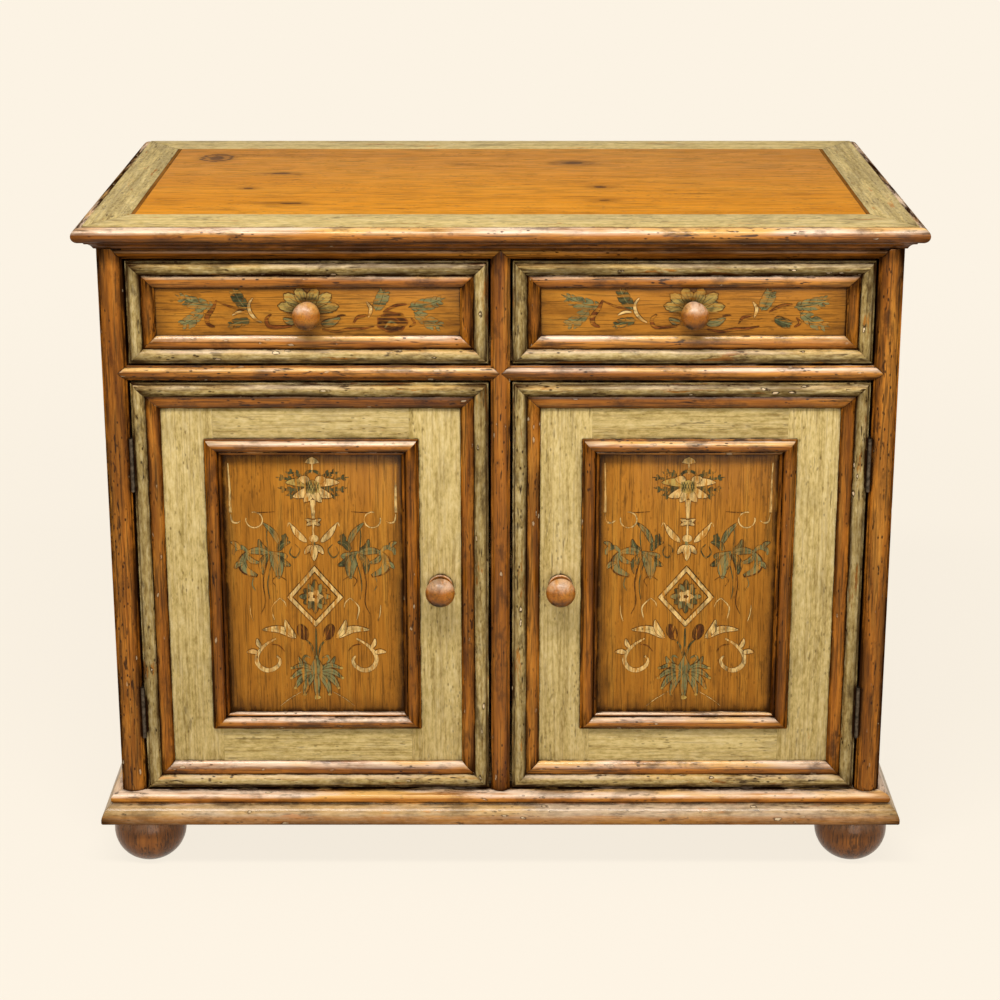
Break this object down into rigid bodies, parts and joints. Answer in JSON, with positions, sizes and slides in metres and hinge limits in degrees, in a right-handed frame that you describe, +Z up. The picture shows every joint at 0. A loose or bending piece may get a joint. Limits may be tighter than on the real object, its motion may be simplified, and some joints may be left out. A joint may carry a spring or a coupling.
{
  "type": "painted cabinet",
  "caption": "Free-standing painted pine sideboard cabinet with moulded drawers over inset panelled doors, a bordered top, a stepped plinth and turned bun feet.",
  "frame": {"origin": "on the floor, in the middle of the footprint, knobs included", "axes": "+X to the right seen from the front, +Y to the back, +Z up"},
  "size_m": [1.041, 0.6098, 0.865],
  "materials": {
    "stained_top": "orange stained and varnished pine, satin",
    "painted_border": "khaki paint, rubbed and glazed",
    "painted_pine": "khaki paint, rubbed and glazed",
    "decorated_panel": "stained pine with a painted flower ornament",
    "plinth_paint": "stained pine with a painted band",
    "stained_pine": "brown stained pine, satin varnish",
    "plain_pine": "plain sanded pine",
    "dark_steel": "browned steel",
    "pin_brass": "plain brass",
    "catch_plastic": "brown moulded plastic"
  },
  "bodies": {
    "cabinet": {"back_boards": "plain_pine", "bed_moulding": "stained_pine", "bottom_rail": "stained_pine", "bun_feet": "stained_pine", "cabinet_floor": "plain_pine", "centre_stile": "stained_pine", "door_catches": "catch_plastic", "drawer_divider": "plain_pine", "drawer_runners": "plain_pine", "dust_board": "plain_pine", "foot_blocks": "plain_pine", "frieze_rail": "stained_pine", "hinge_frame_leaves": "dark_steel", "hinge_pins": "dark_steel", "left_drawer_rail": "stained_pine", "left_side_frame": "stained_pine", "left_side_panel": "painted_pine", "left_stile": "stained_pine", "plinth_moulding": "plinth_paint", "right_drawer_rail": "stained_pine", "right_side_frame": "stained_pine", "right_side_panel": "painted_pine", "right_stile": "stained_pine", "shelf": "plain_pine", "shelf_pins": "pin_brass", "top_ends": "painted_border", "top_inlay_lines": "stained_pine", "top_nosing": "stained_pine", "top_panel": "stained_top", "top_rails": "painted_border"},
    "left_door": {"left_door_bead": "stained_pine", "left_door_edge_moulding": "painted_pine", "left_door_frame": "painted_pine", "left_door_hinge_leaves": "dark_steel", "left_door_knob": "stained_pine", "left_door_panel": "decorated_panel", "left_door_panel_moulding": "stained_pine", "left_door_strike": "dark_steel"},
    "right_door": {"right_door_bead": "stained_pine", "right_door_edge_moulding": "painted_pine", "right_door_frame": "painted_pine", "right_door_hinge_leaves": "dark_steel", "right_door_knob": "stained_pine", "right_door_panel": "decorated_panel", "right_door_panel_moulding": "stained_pine", "right_door_strike": "dark_steel"},
    "left_drawer": {"left_drawer_back": "plain_pine", "left_drawer_bead": "stained_pine", "left_drawer_bottom": "plain_pine", "left_drawer_edge_moulding": "painted_pine", "left_drawer_front": "decorated_panel", "left_drawer_knob": "stained_pine", "left_drawer_sides": "plain_pine"},
    "right_drawer": {"right_drawer_back": "plain_pine", "right_drawer_bead": "stained_pine", "right_drawer_bottom": "plain_pine", "right_drawer_edge_moulding": "painted_pine", "right_drawer_front": "decorated_panel", "right_drawer_knob": "stained_pine", "right_drawer_sides": "plain_pine"}
  },
  "joints": [
    {"name": "left_door_hinge", "type": "hinge", "parent": "cabinet", "child": "left_door", "pos_m": [-0.462, -0.27275, 0.3885], "axis": [0, 0, -1], "range_deg": [0, 135]},
    {"name": "right_door_hinge", "type": "hinge", "parent": "cabinet", "child": "right_door", "pos_m": [0.462, -0.27275, 0.3885], "axis": [0, 0, 1], "range_deg": [0, 135]},
    {"name": "left_drawer_slide", "type": "slide", "parent": "cabinet", "child": "left_drawer", "axis": [0, -1, 0], "range_m": [0, 0.38]},
    {"name": "right_drawer_slide", "type": "slide", "parent": "cabinet", "child": "right_drawer", "axis": [0, -1, 0], "range_m": [0, 0.38]}
  ]
}
